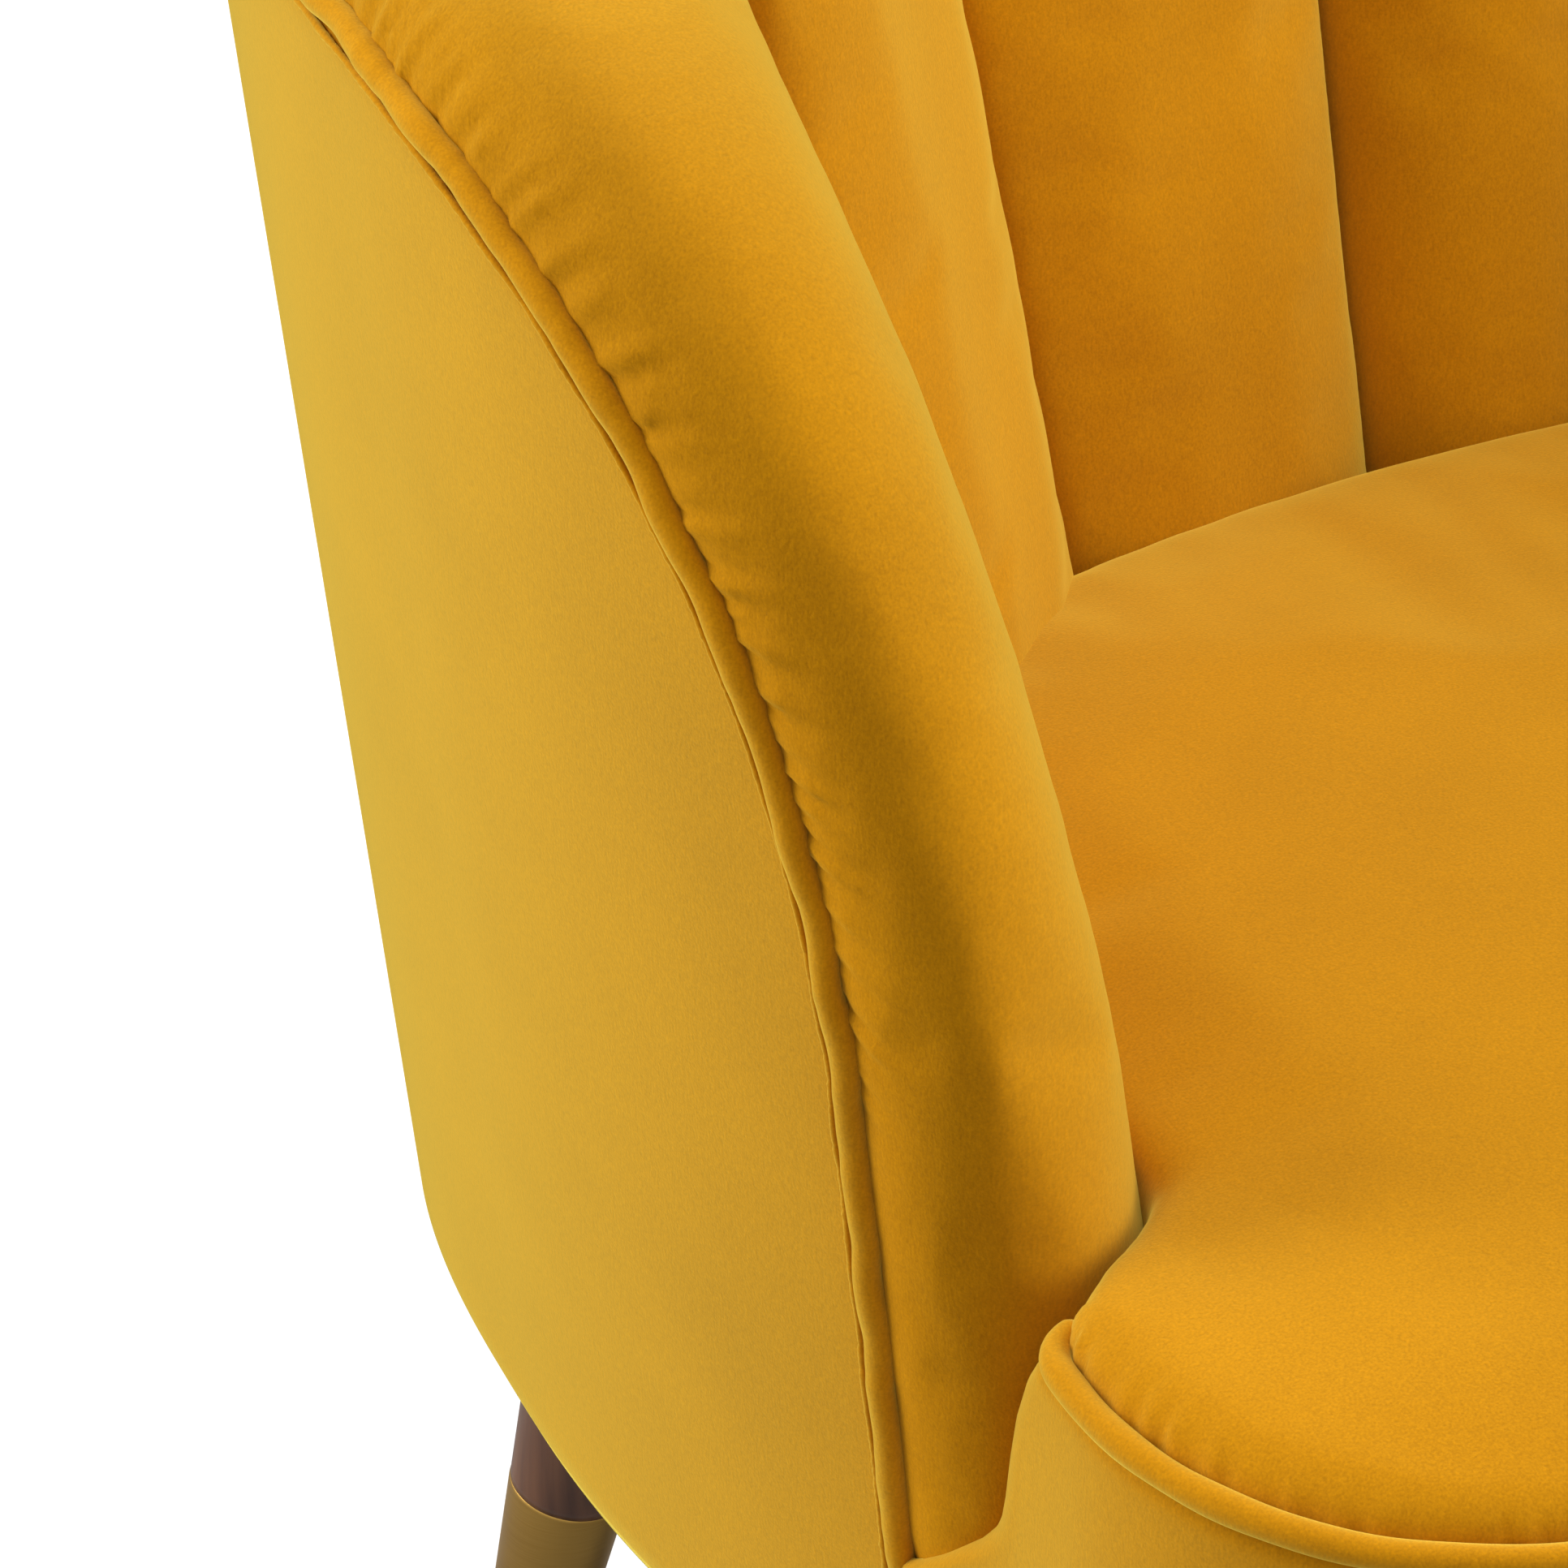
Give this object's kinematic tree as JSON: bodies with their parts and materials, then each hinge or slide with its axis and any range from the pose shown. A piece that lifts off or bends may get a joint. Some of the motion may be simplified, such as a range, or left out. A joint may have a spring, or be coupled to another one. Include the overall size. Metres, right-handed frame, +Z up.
{
  "type": "club chair",
  "caption": "Upholstered club chair with a rounded tub back in vertical padded channels, swept arm rolls, corded edges, a tight crowned seat and splayed tapered legs with metal tips",
  "frame": {"origin": "on the floor under the middle of the chair", "axes": "the chair faces -Y, +X is the sitter's left, +Z is up"},
  "size_m": [0.744, 0.657, 0.796],
  "materials": {
    "velvet": "short-pile mustard velvet",
    "walnut": "satin walnut",
    "brass": "brushed brass",
    "plywood": "raw plywood",
    "fibreboard": "raw thin board",
    "foam": "polyurethane foam",
    "webbing": "woven elastic strap",
    "dust_cloth": "black non-woven cloth",
    "zinc_steel": "zinc-plated steel",
    "nylon": "moulded nylon"
  },
  "bodies": {
    "root": {"arm_band_left": "velvet", "arm_band_right": "velvet", "arm_board_left": "plywood", "arm_board_right": "plywood", "arm_welt_left": "velvet", "arm_welt_right": "velvet", "back_liner": "fibreboard", "back_upright_left": "plywood", "back_upright_right": "plywood", "back_welt": "velvet", "base_ring": "plywood", "bolt_washers": "zinc_steel", "channel_centre": "velvet", "channel_inner_left": "velvet", "channel_inner_right": "velvet", "channel_outer_left": "velvet", "channel_outer_right": "velvet", "corner_liner_left": "fibreboard", "corner_liner_right": "fibreboard", "corner_upright_left": "plywood", "corner_upright_right": "plywood", "deck_blocks": "plywood", "dust_cover": "dust_cloth", "ferrule_front_left": "brass", "ferrule_front_right": "brass", "ferrule_rear_left": "brass", "ferrule_rear_right": "brass", "front_border": "velvet", "glide_front_left": "nylon", "glide_front_right": "nylon", "glide_rear_left": "nylon", "glide_rear_right": "nylon", "inside_arm_left": "velvet", "inside_arm_right": "velvet", "leg_bolts": "zinc_steel", "leg_front_left": "walnut", "leg_front_right": "walnut", "leg_plate_front_left": "zinc_steel", "leg_plate_front_right": "zinc_steel", "leg_plate_rear_left": "zinc_steel", "leg_plate_rear_right": "zinc_steel", "leg_rear_left": "walnut", "leg_rear_right": "walnut", "outside_arm_cover_left": "velvet", "outside_arm_cover_right": "velvet", "outside_back_cover": "velvet", "seat_cushion": "velvet", "seat_deck": "plywood", "seat_foam": "foam", "seat_webbing": "webbing", "seat_welt": "velvet", "top_rail_back": "plywood", "top_rail_left": "plywood", "top_rail_right": "plywood"}
  },
  "joints": []
}
